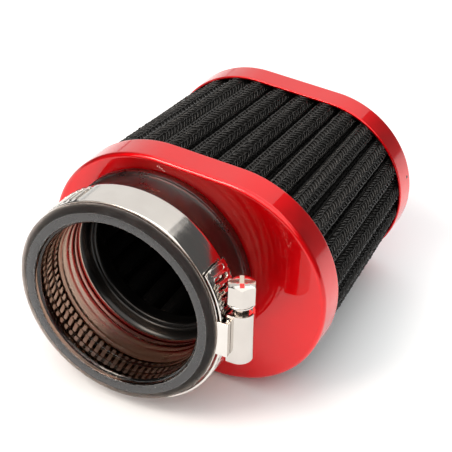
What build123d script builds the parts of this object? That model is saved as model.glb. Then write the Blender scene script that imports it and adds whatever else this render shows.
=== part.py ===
from build123d import *
import math
import os

# Oval clip-on air filter for a motorcycle carburettor, in millimetres.
# Origin: centre of the rubber neck's mouth. +Y runs along the neck's axis to the end cap,
# +X is the oval's long direction, on the clamp screw's side, and +Z is up when the filter
# lies on its flat long side.

# ---------------------------------------------------------------- driving dimensions
SHEET = 0.8              # cap sheet metal
BODY_SHIFT = 7.7         # the oval's centre lies this far from the neck's axis, along X

BASE_FRONT = 25.0        # y of the base cap's front face
BASE_DEPTH = 9.2
BASE_HALF_LONG = 42.3
BASE_HALF_SHORT = 31.8

END_FRONT = 88.8         # y of the end cap's open edge
END_DEPTH = 8.4
END_HALF_LONG = 38.6
END_HALF_SHORT = 26.8
CAP_EDGE_FILLET = 1.3
PANEL_INSET = 7.5        # pressed panel in the end cap's back
PANEL_DEPTH = 0.6

BORE_R = 24.0            # a 48 mm spigot fits the neck
GRIP_END = 12.9          # y where the bore's plain grip wall ends
LIP_R = 30.0
LIP_WIDTH = 1.6
GROOVE_R = 29.3          # seat of the hose clamp on the neck
GROOVE_END = 12.95
WAIST_R = 27.4
ROOT_R = 28.4
ROOT_WIDTH = 2.5
RIB_WIDTH = 0.5
RELIEF = 0.4             # depth of the relief grooves between the deep sealing ribs
RIB_AT = 16.9
COLLAR_R = 24.4          # inner radius of the base cap's drawn collar
COLLAR_FRONT = 22.0
THROAT_R = 20.8          # opening in the potting behind the collar

POTTING = 3.7            # thickness of the potting in each cap
POTTING_GAP = 0.05
PLEATS = 28
PLEAT_PHASE = 0.58       # first ridge, in pitches round from +X
RIDGE_R = 2.3
VALLEY_R = 0.4
BASE_PLEAT_DEPTH = 7.9
END_PLEAT_DEPTH = 7.3
BASE_RIDGE_GAP = 0.25    # ridge tips to the cap wall
END_RIDGE_GAP = 0.45
LAYER_GAP = 0.03
LAYERS = (
    ("mesh_cover", 0.40),
    ("outer_wire_screen", 0.25),
    ("gauze_ply_1", 0.20),
    ("gauze_ply_2", 0.20),
    ("gauze_ply_3", 0.20),
    ("gauze_ply_4", 0.20),
    ("inner_wire_screen", 0.25),
)
CLIP_SHEET = 0.4
SEAM_VALLEY = 20         # the pleat valley where the media's ends meet

CLAMP_TURN = 3.5         # degrees that the clamp is turned up from +X
BAND_Y = 7.2             # middle of the band
BAND_WIDTH = 9.9
BAND_T = 0.6
BAND_R = 29.4            # inside of the loop
TAIL_LIFT = 0.6          # gap between the loop and the strip that slides over it
TAIL_TOP = 33.6          # degrees round from the screw
TAIL_STRAIGHT = -20.0    # below this angle the strip closes in on the loop
TAIL_END = -62.0
TAIL_CLOSING_R = 28.7    # inner radius of the closing arc
SLOT_LENGTH = 6.2
SLOT_WIDTH = 1.35
SLOT_SLANT = 7.4         # degrees, follows the worm's thread
LOOP_SLOTS = range(25, 71)
TAIL_SLOTS = range(-13, 8)

SADDLE_SHEET = 0.55
SADDLE_LOW = -5.9
SADDLE_HIGH = 4.5
SADDLE_WIDTH = 11.2
SADDLE_TOP = 33.0        # distance of the folded lips from the neck's axis
LIP_FOLD = 1.7
HOUSING_SHEET = 0.6
HOUSING_R = 3.75
HOUSING_SKIRT = 31.75    # lower edge of the barrel's walls, from the neck's axis
HOUSING_LOW = -8.9
HOUSING_HIGH = 6.2
NOSE_R = 2.3
NOSE_HEIGHT = 1.2

SCREW_AXIS = 33.9        # distance between the screw's axis and the neck's axis
PITCH = 2.4
WORM_R = 3.05
WORM_CORE_R = 2.2
WORM_LOW = -8.1
WORM_HIGH = 4.7
THREAD_CREST = 0.55
THREAD_ROOT = 1.3
NECK_R = 2.15
RUNNING = 0.08           # radial clearance round the turning screw
PILOT_R = 1.4
FLANGE_R = 3.8
FLANGE_LOW = 8.35
FLANGE_HEIGHT = 0.85
HEX_FLATS = 7.0
HEX_TOP = 15.3
HEX_TURN = 27.4          # degrees, direction of the driver slot
DRIVER_SLOT = (9.0, 1.6, 1.3)
CROSS_SLOT = (5.8, 1.2, 1.6)

# ---------------------------------------------------------------- derived dimensions
BASE_BACK = BASE_FRONT + BASE_DEPTH
END_BACK = END_FRONT + END_DEPTH
MEDIA_LOW = BASE_FRONT + SHEET + POTTING
MEDIA_HIGH = END_BACK - SHEET - POTTING
TAIL_R = BAND_R + BAND_T + TAIL_LIFT
TAIL_STEP = math.degrees(PITCH / (TAIL_R + BAND_T / 2))
LOOP_STEP = math.degrees(PITCH / (BAND_R + BAND_T / 2))
BAND_LOW_Y = BAND_Y - BAND_WIDTH / 2
LOOP_START = math.degrees(math.asin(SADDLE_HIGH / BAND_R))
LOOP_END = 360 + math.degrees(math.asin((SADDLE_LOW - 0.2) / BAND_R))


# ---------------------------------------------------------------- helpers
def across(y, x=0.0):
    """Drawing plane square to the neck's axis: its axes are X and Z."""
    return Plane(origin=(x, y, 0), x_dir=(1, 0, 0), z_dir=(0, -1, 0))


def slab(sketch, y_low, y_high, x=0.0):
    return extrude(across(y_low, x) * sketch, amount=y_high - y_low, dir=(0, 1, 0))


def oval(half_long, half_short, y_low, y_high):
    return slab(SlotOverall(2 * half_long, 2 * half_short), y_low, y_high, BODY_SHIFT)


def ring(r_outer, r_inner, y_low, y_high):
    return slab(Circle(r_outer) - Circle(r_inner), y_low, y_high)


def revolved(points):
    """Turned solid from an outline of (radius, y) points."""
    return revolve(make_face(Polyline(*points, close=True)), Axis.Y)


def polar(radius, degrees):
    angle = math.radians(degrees)
    return radius * math.cos(angle), radius * math.sin(angle)


def arc(radius, start, end, centre=(0.0, 0.0)):
    """Arc from one angle to another, drawn in X and Z."""
    points = []
    for degrees in (start, (start + end) / 2, end):
        x, z = polar(radius, degrees)
        points.append((centre[0] + x, centre[1] + z))
    return ThreePointArc(*points)


def sector(r_inner, r_outer, start, end):
    """Flat piece of a ring between two angles."""
    inner = arc(r_inner, start, end)
    outer = arc(r_outer, end, start)
    return make_face(Curve() + [inner, Line(inner @ 1, outer @ 0), outer, Line(outer @ 1, inner @ 0)])


def block(x_low, x_high, y_low, y_high, z_low, z_high):
    size = (x_high - x_low, y_high - y_low, z_high - z_low)
    return Pos(x_low, y_low, z_low) * Box(*size, align=(Align.MIN, Align.MIN, Align.MIN))


def turned_up(shape):
    """Turns a clamp piece from +X to where the clamp sits on the neck."""
    return Rot(0, -CLAMP_TURN, 0) * shape


# ---------------------------------------------------------------- rubber neck
def neck_boot():
    root_front = BASE_FRONT - ROOT_WIDTH
    outside = [
        (BORE_R, 0),
        (LIP_R - 1.9, 0),
        (LIP_R - 0.9, 0.3),
        (LIP_R - 0.2, 0.9),
        (LIP_R, LIP_WIDTH),
        (GROOVE_R, LIP_WIDTH),
        (GROOVE_R, GROOVE_END),
        (WAIST_R, root_front - 3.4),
        (WAIST_R, root_front),
        (ROOT_R - 0.4, root_front),
        (ROOT_R, root_front + 0.5),
        (ROOT_R, BASE_FRONT),
    ]
    collar_seat = COLLAR_R + SHEET
    inside = [
        (collar_seat, BASE_FRONT),
        (collar_seat, COLLAR_FRONT),
        (BORE_R + RELIEF, COLLAR_FRONT),
        (BORE_R + RELIEF, RIB_AT + RIB_WIDTH / 2),
        (BORE_R, RIB_AT + RIB_WIDTH / 2),
        (BORE_R, RIB_AT - RIB_WIDTH / 2),
        (BORE_R + RELIEF, RIB_AT - RIB_WIDTH / 2),
        (BORE_R + RELIEF, GRIP_END + RELIEF),
        (BORE_R, GRIP_END),
    ]
    return revolved(outside + inside)


# ---------------------------------------------------------------- caps
def base_cap():
    pan = oval(BASE_HALF_LONG, BASE_HALF_SHORT, BASE_FRONT, BASE_BACK)
    front_edges = pan.edges().group_by(Axis.Y)[0]
    pan = fillet(front_edges, CAP_EDGE_FILLET)
    inside = oval(BASE_HALF_LONG - SHEET, BASE_HALF_SHORT - SHEET, BASE_FRONT + SHEET, BASE_BACK + 1)
    collar = ring(COLLAR_R + SHEET, COLLAR_R, COLLAR_FRONT, BASE_FRONT + SHEET)
    hole = slab(Circle(COLLAR_R), BASE_FRONT - 1, BASE_FRONT + SHEET + 1)
    return pan - inside - hole + collar


def end_cap():
    pan = oval(END_HALF_LONG, END_HALF_SHORT, END_FRONT, END_BACK)
    back_edges = pan.edges().group_by(Axis.Y)[-1]
    pan = fillet(back_edges, CAP_EDGE_FILLET)
    inside = oval(END_HALF_LONG - SHEET, END_HALF_SHORT - SHEET, END_FRONT - 1, END_BACK - SHEET)
    return pan - (inside - panel(SHEET)) - panel_recess()


def panel(extra):
    """The pressed panel's inner bulge, with the sheet's thickness round the recess."""
    half_long = END_HALF_LONG - PANEL_INSET + extra
    half_short = END_HALF_SHORT - PANEL_INSET + extra
    return oval(half_long, half_short, END_BACK - SHEET - PANEL_DEPTH, END_BACK - SHEET)


def panel_recess():
    half_long = END_HALF_LONG - PANEL_INSET
    half_short = END_HALF_SHORT - PANEL_INSET
    return oval(half_long, half_short, END_BACK - PANEL_DEPTH, END_BACK + 1)


def base_potting():
    half_long = BASE_HALF_LONG - SHEET - POTTING_GAP
    half_short = BASE_HALF_SHORT - SHEET - POTTING_GAP
    disc = oval(half_long, half_short, BASE_FRONT + SHEET, MEDIA_LOW)
    return disc - slab(Circle(THROAT_R), BASE_FRONT, MEDIA_LOW + 1)


def end_potting():
    half_long = END_HALF_LONG - SHEET - POTTING_GAP
    half_short = END_HALF_SHORT - SHEET - POTTING_GAP
    return oval(half_long, half_short, MEDIA_HIGH, END_BACK - SHEET) - panel(SHEET)


# ---------------------------------------------------------------- pleated media
def oval_point(half_long, half_short, turns):
    """Point and outward normal on an oval, a share of its outline round from +X."""
    straight = 2 * (half_long - half_short)
    quarter = math.pi * half_short / 2
    left = (turns % 1.0) * (2 * straight + 4 * quarter)
    offset = half_long - half_short
    if left < quarter:
        return end_point(offset, half_short, left / half_short)
    left -= quarter
    if left < straight:
        return (offset - left, half_short), (0.0, 1.0)
    left -= straight
    if left < 2 * quarter:
        return end_point(-offset, half_short, math.pi / 2 + left / half_short)
    left -= 2 * quarter
    if left < straight:
        return (-offset + left, -half_short), (0.0, -1.0)
    left -= straight
    return end_point(offset, half_short, 1.5 * math.pi + left / half_short)


def end_point(offset, radius, angle):
    normal = (math.cos(angle), math.sin(angle))
    return (offset + radius * normal[0], radius * normal[1]), normal


def fold_centre(half_long, half_short, turns, depth):
    """Centre of a fold's arc and the outward direction there."""
    point, normal = oval_point(half_long, half_short, turns)
    return (point[0] - normal[0] * depth, point[1] - normal[1] * depth), normal


def flank_normal(first, second, reach, forward):
    """Unit normal of the line that touches a ridge's circle and the next valley's."""
    dx, dz = second[0] - first[0], second[1] - first[1]
    span = math.hypot(dx, dz)
    along = reach / span
    beside = math.sqrt(1 - along * along) * (-1 if forward else 1)
    return (dx * along - dz * beside) / span, (dz * along + dx * beside) / span


def shifted(point, direction, amount):
    return point[0] + direction[0] * amount, point[1] + direction[1] * amount


def pleat_wire(half_long, half_short, depth, inset, y):
    """Closed outline of the pleats, a given depth inside their outer surface."""
    ridge_r = RIDGE_R - inset
    valley_r = VALLEY_R + inset
    reach = ridge_r + valley_r
    folds = []
    for index in range(2 * PLEATS):
        turns = (index / 2 + PLEAT_PHASE) / PLEATS
        fold_depth = RIDGE_R if index % 2 == 0 else depth - VALLEY_R
        folds.append(fold_centre(half_long, half_short, turns, fold_depth))
    flanks = []
    for index, (centre, _) in enumerate(folds):
        following = folds[(index + 1) % len(folds)][0]
        if index % 2 == 0:
            normal = flank_normal(centre, following, reach, True)
            flanks.append((shifted(centre, normal, ridge_r), shifted(following, normal, -valley_r)))
        else:
            normal = flank_normal(following, centre, reach, False)
            flanks.append((shifted(centre, normal, -valley_r), shifted(following, normal, ridge_r)))
    edges = []
    for index, (centre, outward) in enumerate(folds):
        tip = ridge_r if index % 2 == 0 else -valley_r
        start = flanks[index - 1][1]
        end = flanks[index][0]
        edges.append(ThreePointArc(start, shifted(centre, outward, tip), end))
        edges.append(Line(*flanks[index]))
    return (across(y, BODY_SHIFT) * Wire(edges)).wire()


def pleat_body(inset):
    base = pleat_wire(
        BASE_HALF_LONG - SHEET - BASE_RIDGE_GAP,
        BASE_HALF_SHORT - SHEET - BASE_RIDGE_GAP,
        BASE_PLEAT_DEPTH,
        inset,
        MEDIA_LOW,
    )
    end = pleat_wire(
        END_HALF_LONG - SHEET - END_RIDGE_GAP,
        END_HALF_SHORT - SHEET - END_RIDGE_GAP,
        END_PLEAT_DEPTH,
        inset,
        MEDIA_HIGH,
    )
    return Solid.make_loft([base, end], ruled=True)


def media_layers():
    """Each layer of the pleated sandwich, from the outside in."""
    layers = {}
    inset = 0.0
    for name, thickness in LAYERS:
        layers[name] = pleat_body(inset) - pleat_body(inset + thickness)
        inset += thickness + LAYER_GAP
    return layers


def clip_section(half_long, half_short, depth, y):
    """The seam clip's U across one inner fold."""
    turns = (SEAM_VALLEY + 0.5 + PLEAT_PHASE) / PLEATS
    centre, outward = fold_centre(half_long, half_short, turns, depth - VALLEY_R)
    stack = sum(thickness + LAYER_GAP for _, thickness in LAYERS)
    r_inner = VALLEY_R + stack
    middle = math.degrees(math.atan2(-outward[1], -outward[0]))
    inner = arc(r_inner, middle - 70, middle + 70, centre)
    outer = arc(r_inner + CLIP_SHEET, middle + 70, middle - 70, centre)
    edges = [inner, Line(inner @ 1, outer @ 0), outer, Line(outer @ 1, inner @ 0)]
    return (across(y, BODY_SHIFT) * Wire(edges)).wire()


def seam_clip():
    base = clip_section(
        BASE_HALF_LONG - SHEET - BASE_RIDGE_GAP,
        BASE_HALF_SHORT - SHEET - BASE_RIDGE_GAP,
        BASE_PLEAT_DEPTH,
        MEDIA_LOW,
    )
    end = clip_section(
        END_HALF_LONG - SHEET - END_RIDGE_GAP,
        END_HALF_SHORT - SHEET - END_RIDGE_GAP,
        END_PLEAT_DEPTH,
        MEDIA_HIGH,
    )
    return Solid.make_loft([base, end], ruled=True)


# ---------------------------------------------------------------- hose clamp
def slot_cutter(radius, turn):
    """One slanted slot through the strip."""
    cutter = extrude(Plane.YZ * SlotOverall(SLOT_LENGTH, SLOT_WIDTH), amount=1.5, both=True)
    placed = Pos(radius, BAND_Y, 0) * Rot(-SLOT_SLANT, 0, 0) * cutter
    return Rot(0, -turn, 0) * placed


def clamp_band():
    loop = slab(sector(BAND_R, BAND_R + BAND_T, LOOP_START, LOOP_END), BAND_LOW_Y, BAND_LOW_Y + BAND_WIDTH)
    cutters = [slot_cutter(BAND_R + BAND_T / 2, step * LOOP_STEP) for step in LOOP_SLOTS]
    return turned_up(loop - cutters)


def band_tail():
    top = arc(TAIL_R, TAIL_STRAIGHT, TAIL_TOP)
    centre = polar(TAIL_R - TAIL_CLOSING_R, TAIL_STRAIGHT)
    closing = arc(TAIL_CLOSING_R, TAIL_STRAIGHT, TAIL_END, centre)
    outer_closing = arc(TAIL_CLOSING_R + BAND_T, TAIL_END, TAIL_STRAIGHT, centre)
    outer_top = arc(TAIL_R + BAND_T, TAIL_STRAIGHT, TAIL_TOP)
    outline = [
        closing,
        Line(closing @ 1, outer_closing @ 0),
        outer_closing,
        outer_top,
        Line(outer_top @ 1, top @ 1),
        top,
    ]
    strip = slab(make_face(Wire(outline)), BAND_LOW_Y, BAND_LOW_Y + BAND_WIDTH)
    cutters = [slot_cutter(TAIL_R + BAND_T / 2, step * TAIL_STEP) for step in TAIL_SLOTS]
    return turned_up(strip - cutters)


def clamp_saddle():
    front = BAND_Y - SADDLE_WIDTH / 2
    back = BAND_Y + SADDLE_WIDTH / 2
    channel = block(BAND_R - 1.5, SADDLE_TOP, front, back, SADDLE_LOW, SADDLE_HIGH)
    channel -= slab(Circle(BAND_R), front - 1, back + 1)
    hollow = block(BAND_R - 2, SADDLE_TOP - SADDLE_SHEET, front + SADDLE_SHEET, back - SADDLE_SHEET,
                   SADDLE_LOW - 1, SADDLE_HIGH + 1)
    channel -= hollow - slab(Circle(BAND_R + BAND_T), front - 1, back + 1)
    mouth = block(SADDLE_TOP - 2, SADDLE_TOP + 1, front + LIP_FOLD, back - LIP_FOLD,
                  SADDLE_LOW - 1, SADDLE_HIGH + 1)
    return turned_up(channel - mouth)


def barrel_section(radius, skirt):
    """D-shaped section of the barrel, round on the outside, in X and Y."""
    half = Pos(SCREW_AXIS, BAND_Y) * Circle(radius)
    walls = Pos((SCREW_AXIS + skirt) / 2, BAND_Y) * Rectangle(SCREW_AXIS - skirt, 2 * radius)
    below = Pos(skirt - radius, BAND_Y) * Rectangle(2 * radius, 4 * radius)
    return half + walls - below


def clamp_housing():
    height = HOUSING_HIGH - HOUSING_LOW
    inner_r = HOUSING_R - HOUSING_SHEET
    outer = extrude(barrel_section(HOUSING_R, HOUSING_SKIRT), amount=height)
    inner = extrude(barrel_section(inner_r, HOUSING_SKIRT - 1), amount=height)
    barrel = Pos(0, 0, HOUSING_LOW) * outer
    barrel = fillet(barrel.edges().filter_by(GeomType.CIRCLE).group_by(Axis.Z)[0], 0.5)
    barrel -= Pos(0, 0, HOUSING_LOW + HOUSING_SHEET) * inner
    flange_y = SADDLE_WIDTH / 2 - SADDLE_SHEET - 0.05
    flange = block(HOUSING_SKIRT, HOUSING_SKIRT + HOUSING_SHEET, BAND_Y - flange_y, BAND_Y + flange_y,
                   SADDLE_LOW, SADDLE_HIGH)
    flange -= Pos(0, 0, HOUSING_LOW) * inner
    thrust_low = WORM_HIGH + 0.25
    thrust = Pos(0, 0, thrust_low) * extrude(barrel_section(inner_r, HOUSING_SKIRT), amount=HOUSING_SHEET)
    thrust -= on_axis(NECK_R + RUNNING, thrust_low - 1, thrust_low + 2)
    nose = on_axis(NOSE_R, HOUSING_LOW - NOSE_HEIGHT, HOUSING_LOW)
    nose = fillet(nose.edges().group_by(Axis.Z)[0], NOSE_HEIGHT * 0.9)
    body = barrel + flange + thrust + nose
    return turned_up(body - on_axis(PILOT_R + RUNNING, HOUSING_LOW - 0.1, WORM_LOW))


def on_axis(radius, z_low, z_high):
    """Cylinder on the screw's axis."""
    place = Pos(SCREW_AXIS, BAND_Y, z_low)
    return place * Cylinder(radius, z_high - z_low, align=(Align.CENTER, Align.CENTER, Align.MIN))


def worm_thread():
    """Right-hand thread, with a tooth facing the strip at z = 0."""
    height = 6 * PITCH
    low = -3.5 * PITCH
    start = Pos(SCREW_AXIS, BAND_Y, low) * Helix(PITCH, height, WORM_CORE_R)
    root = WORM_CORE_R - 0.1
    section = make_face(Polyline(
        (root, -THREAD_ROOT / 2),
        (WORM_R, -THREAD_CREST / 2),
        (WORM_R, THREAD_CREST / 2),
        (root, THREAD_ROOT / 2),
        close=True,
    ))
    place = Plane(origin=(SCREW_AXIS, BAND_Y, low), x_dir=(1, 0, 0), z_dir=(0, -1, 0))
    return sweep(place * section, path=start, is_frenet=True)


def clamp_screw():
    worm = on_axis(WORM_CORE_R, WORM_LOW, WORM_HIGH) + worm_thread()
    worm = worm & on_axis(WORM_R, WORM_LOW, WORM_HIGH)
    shaft = on_axis(NECK_R, WORM_HIGH - 0.1, FLANGE_LOW + 0.1)
    pilot = on_axis(PILOT_R, HOUSING_LOW + 0.1, WORM_LOW + 0.1)
    flange = on_axis(FLANGE_R, FLANGE_LOW, FLANGE_LOW + FLANGE_HEIGHT)
    flange = fillet(flange.edges().filter_by(GeomType.CIRCLE), 0.35)
    return turned_up(worm + shaft + pilot + flange + screw_head())


def screw_head():
    """Hexagon with a crowned top and two crossing driver slots."""
    low = FLANGE_LOW + FLANGE_HEIGHT - 0.05
    corner_r = HEX_FLATS / math.sqrt(3)
    hexagon = RegularPolygon(HEX_FLATS / 2, 6, major_radius=False, rotation=HEX_TURN + 30)
    head = Pos(SCREW_AXIS, BAND_Y, low) * extrude(hexagon, amount=HEX_TOP - low)
    crown = [
        (0, low),
        (corner_r + 1, low),
        (corner_r + 1, HEX_TOP - 1.3),
        (corner_r - 0.3, HEX_TOP - 0.65),
        (HEX_FLATS / 2 - 1.0, HEX_TOP - 0.15),
        (0, HEX_TOP),
    ]
    dome = revolve(Plane.XZ * make_face(Polyline(*crown, close=True)), Axis.Z)
    head = head & (Pos(SCREW_AXIS, BAND_Y, 0) * dome)
    for turn, (length, width, deep) in ((0, DRIVER_SLOT), (90, CROSS_SLOT)):
        cutter = Box(length, width, 2 * deep)
        head -= Pos(SCREW_AXIS, BAND_Y, HEX_TOP) * Rot(0, 0, HEX_TURN + turn) * cutter
    return head


# ---------------------------------------------------------------- output
def build():
    nodes = {
        "neck_boot": neck_boot(),
        "base_cap": base_cap(),
        "end_cap": end_cap(),
        "base_potting": base_potting(),
        "end_potting": end_potting(),
        "seam_clip": seam_clip(),
        "clamp_band": clamp_band(),
        "band_tail": band_tail(),
        "clamp_saddle": clamp_saddle(),
        "clamp_housing": clamp_housing(),
        "clamp_screw": clamp_screw(),
    }
    nodes.update(media_layers())
    return nodes


os.makedirs("parts", exist_ok=True)
for node, shape in build().items():
    shape.label = node
    export_step(shape, f"parts/{node}.step")
    print(node, len(shape.solids()), round(shape.volume, 1))
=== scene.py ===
import math

import bmesh
import bpy
import numpy as np
from mathutils import Matrix, Vector


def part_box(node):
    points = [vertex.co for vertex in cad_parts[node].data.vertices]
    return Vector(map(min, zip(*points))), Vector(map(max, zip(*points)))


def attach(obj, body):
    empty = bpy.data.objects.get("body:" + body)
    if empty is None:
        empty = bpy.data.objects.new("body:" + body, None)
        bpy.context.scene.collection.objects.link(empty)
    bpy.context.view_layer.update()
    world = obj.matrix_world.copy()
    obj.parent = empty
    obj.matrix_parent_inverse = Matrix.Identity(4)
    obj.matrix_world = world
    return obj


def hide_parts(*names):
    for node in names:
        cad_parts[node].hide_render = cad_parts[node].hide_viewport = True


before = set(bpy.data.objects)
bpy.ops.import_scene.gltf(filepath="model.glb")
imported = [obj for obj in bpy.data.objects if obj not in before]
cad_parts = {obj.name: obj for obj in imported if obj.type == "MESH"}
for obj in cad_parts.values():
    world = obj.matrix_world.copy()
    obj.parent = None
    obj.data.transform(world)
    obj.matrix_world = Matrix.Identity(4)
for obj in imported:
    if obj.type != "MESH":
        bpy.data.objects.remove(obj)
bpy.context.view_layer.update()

# The meshes below are worked out in millimetres and scaled when they are made.
MM = 0.001


def box_mm(node):
    """Low and high corner of a CAD node's box."""
    low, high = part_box(node)
    return np.array(low) / MM, np.array(high) / MM


# -------- sizes read from the frame
BASE_LOW, BASE_HIGH = box_mm("base_cap")
END_LOW, END_HIGH = box_mm("end_cap")
NECK_HIGH = box_mm("neck_boot")[1]
MEDIA_LOW, MEDIA_HIGH = box_mm("mesh_cover")
BAND_LOW, BAND_HIGH = box_mm("clamp_band")

CENTRE_X = (BASE_LOW[0] + BASE_HIGH[0]) / 2
BASE_HALF = ((BASE_HIGH[0] - BASE_LOW[0]) / 2, BASE_HIGH[2])
END_HALF = ((END_HIGH[0] - END_LOW[0]) / 2, END_HIGH[2])
FACE_Y = NECK_HIGH[1]
COLLAR_Y = BASE_LOW[1]
BASE_BACK = BASE_HIGH[1]
LIP_R = NECK_HIGH[0]

# -------- sizes of the details
SHEET = 0.8
EDGE_R = 1.3
COLLAR_R = 24.4          # inside of the base cap's collar
PANEL_INSET = 7.5        # pressed panel in the end cap's back
PANEL_DEPTH = 0.6
THROAT_R = 20.8          # opening in the potting

LIP_WIDTH = 1.6
GROOVE_R = 29.3          # seat of the clamp on the neck
WAIST_R = 27.4
ROOT_R = 28.4
SEAT_R = 25.35           # where the neck sits round the collar
BORE_R = 24.0
BORE_RINGS = (4.4, 8.1, 11.8, 15.6, 18.6)
ROUND_COLUMNS = 256

PLEATS = 28
PLEAT_PHASE = 0.58       # first ridge, in pitches round from +X
RIDGE_R = 2.3
VALLEY_R = 0.4
BASE_PLEAT_DEPTH = 7.9
END_PLEAT_DEPTH = 7.3
BASE_RIDGE_GAP = 0.25    # from the ridges to the cap's wall
END_RIDGE_GAP = 0.45
WALES_PER_PLEAT = 10
STITCH_PITCH = 1.6
YARN_R = 0.23

CLAMP_TURN = math.radians(3.5)
BAND_Y = (BAND_LOW[1] + BAND_HIGH[1]) / 2
BAND_WIDTH = BAND_HIGH[1] - BAND_LOW[1]
BAND_T = 0.6
BAND_R = 29.4            # inside of the loop
LOOP_START = 4.5         # the loop's ends, above and below the screw's middle
LOOP_END = 6.1
LOOP_SLOTS = range(25, 71)
TAIL_R = 30.6            # inside of the free end
TAIL_TOP = 33.6          # degrees round from the screw
TAIL_STRAIGHT = -20.0    # below this the strip closes in on the loop
TAIL_END = -62.0
TAIL_CLOSING_R = 28.7
TAIL_SLOTS = range(-13, 8)
SLOT_LENGTH = 6.2
SLOT_WIDTH = 1.35
SLOT_SLANT = math.radians(7.4)
SLOT_PITCH = 2.4
EDGE_ROUND = 0.12
CORNER_R = 2.6           # corners of the free end
# the loop runs askew by this much at most, between these degrees round from the screw
SKEW = 2.8
SKEW_FROM = 95.0
SKEW_TO = 335.0

# how deeply the rubber tints light, per metre, and the weaves' pitches, in metres
RUBBER_DENSITY = 400.0
WIRE_PITCH = 0.0012
GAUZE_PITCH = 0.0006


# -------- mesh helpers
def add_object(name, data):
    item = bpy.data.objects.new(name, data)
    bpy.context.scene.collection.objects.link(item)
    return item


def add_piece(name, mesh, material, body, replaced):
    """Object with one material that rides on a CAD body and stands in for CAD nodes."""
    mesh.materials.append(material)
    piece = add_object(name, mesh)
    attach(piece, body)
    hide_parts(*replaced)
    return piece


def make_piece(name, vertices, faces, material, body, replaced):
    """Smooth piece from millimetre vertices and a list of faces."""
    mesh = bpy.data.meshes.new(name)
    mesh.from_pydata((np.asarray(vertices) * MM).tolist(), [], faces)
    mesh.validate()
    mesh.shade_smooth()
    clean(mesh)
    return add_piece(name, mesh, material, body, replaced)


def clean(mesh):
    """Joins doubled points and turns all faces outwards."""
    data = bmesh.new()
    data.from_mesh(mesh)
    bmesh.ops.remove_doubles(data, verts=data.verts, dist=1e-7)
    bmesh.ops.recalc_face_normals(data, faces=data.faces)
    data.to_mesh(mesh)
    data.free()


def sharpen(piece, degrees):
    """Keeps edges that turn by more than this sharp."""
    piece.data.set_sharp_from_angle(angle=math.radians(degrees))


def grid_faces(rows, columns, close_rows=False, close_columns=True):
    """Quads over a grid of points stored row by row."""
    faces = []
    for row in range(rows if close_rows else rows - 1):
        following = (row + 1) % rows
        for column in range(columns if close_columns else columns - 1):
            beside = (column + 1) % columns
            faces.append((row * columns + column, row * columns + beside,
                          following * columns + beside, following * columns + column))
    return faces


def shifted(faces, first):
    """The same faces, with their corners counted from a given vertex on."""
    return [tuple(first + corner for corner in face) for face in faces]


def oval_spine(half, per_end=80, per_side=30):
    """Centres and outward normals round an oval, in X and Z."""
    reach = half[0] - half[1]
    turn = np.linspace(-math.pi / 2, math.pi / 2, per_end, endpoint=False)
    side = np.linspace(reach, -reach, per_side, endpoint=False)
    right = np.stack([np.full(per_end, reach), np.zeros(per_end)], 1)
    top = np.stack([side, np.zeros(per_side)], 1)
    centres = np.concatenate([right, top, -right, -top])
    end_normals = np.stack([np.cos(turn), np.sin(turn)], 1)
    side_normals = np.tile([0.0, 1.0], (per_side, 1))
    normals = np.concatenate([end_normals, side_normals, -end_normals, -side_normals])
    return centres + [CENTRE_X, 0], normals


def oval_row(half, inset, y, spine):
    """Points of an outline that lies a given distance inside an oval."""
    centres, normals = spine
    flat = centres + normals * (half[1] - inset)
    return np.stack([flat[:, 0], np.full(len(flat), y), flat[:, 1]], 1)


def circle_row(radius, y, angles):
    """Points of a circle round the neck's axis."""
    return np.stack([radius * np.cos(angles), np.full(len(angles), y), radius * np.sin(angles)], 1)


def rounded(start, corner, end, steps):
    """Points of a smooth corner from start to end, bending at corner."""
    share = np.linspace(0, 1, steps + 1)[:, None]
    start, corner, end = np.array(start), np.array(corner), np.array(end)
    return ((1 - share) ** 2 * start + 2 * share * (1 - share) * corner + share ** 2 * end).tolist()


def cap_edge(y, end):
    """Rounded edge of a cap as (inset, y), from its wall at y, turned to an angle in degrees."""
    turn = np.radians(np.linspace(0, end, 11))
    return [(EDGE_R - EDGE_R * math.cos(angle), y + EDGE_R * math.sin(angle)) for angle in turn]


def rolled_hem(edge, inward):
    """Rounded end of a sheet as (inset, y), from its inside to its outside."""
    hem = rounded((SHEET, edge + inward), (SHEET, edge), (SHEET / 2, edge), 3)
    return hem + rounded((SHEET / 2, edge), (0, edge), (0, edge + inward), 3)[1:]


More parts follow.
